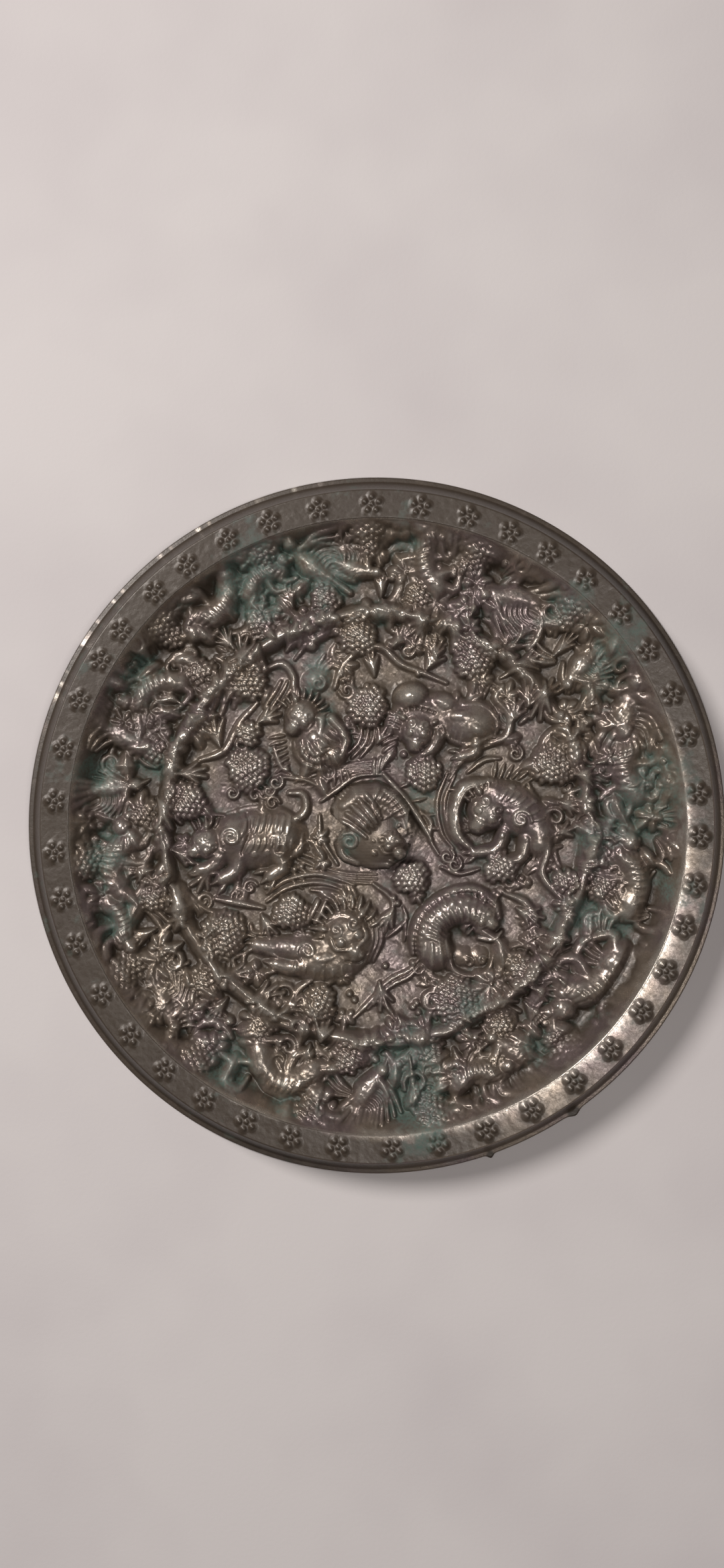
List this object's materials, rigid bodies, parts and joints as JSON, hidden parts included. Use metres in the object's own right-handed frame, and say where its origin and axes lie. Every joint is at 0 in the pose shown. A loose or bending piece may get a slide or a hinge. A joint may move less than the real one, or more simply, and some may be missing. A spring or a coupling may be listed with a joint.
{
  "type": "ancient bronze mirror",
  "caption": "Round cast bronze mirror with a polished flat face, a raised rim with flowers, beasts and grapevines in relief and a pierced beast-shaped knob.",
  "frame": {"origin": "centre of the polished face, on the surface that the mirror lies on", "axes": "+Z away from the polished face, out of the decorated back; +X to the right and +Y to the top of the back as pictured"},
  "size_m": [0.1678, 0.168, 0.0145],
  "materials": {
    "aged_bronze": "dark brown-grey bronze patina, worn brighter on the high points, with green verdigris patches and earthy deposits in the recesses; the underside is the tarnished polished face"
  },
  "bodies": {
    "root": {"mirror": "aged_bronze", "knob": "aged_bronze"}
  },
  "joints": []
}
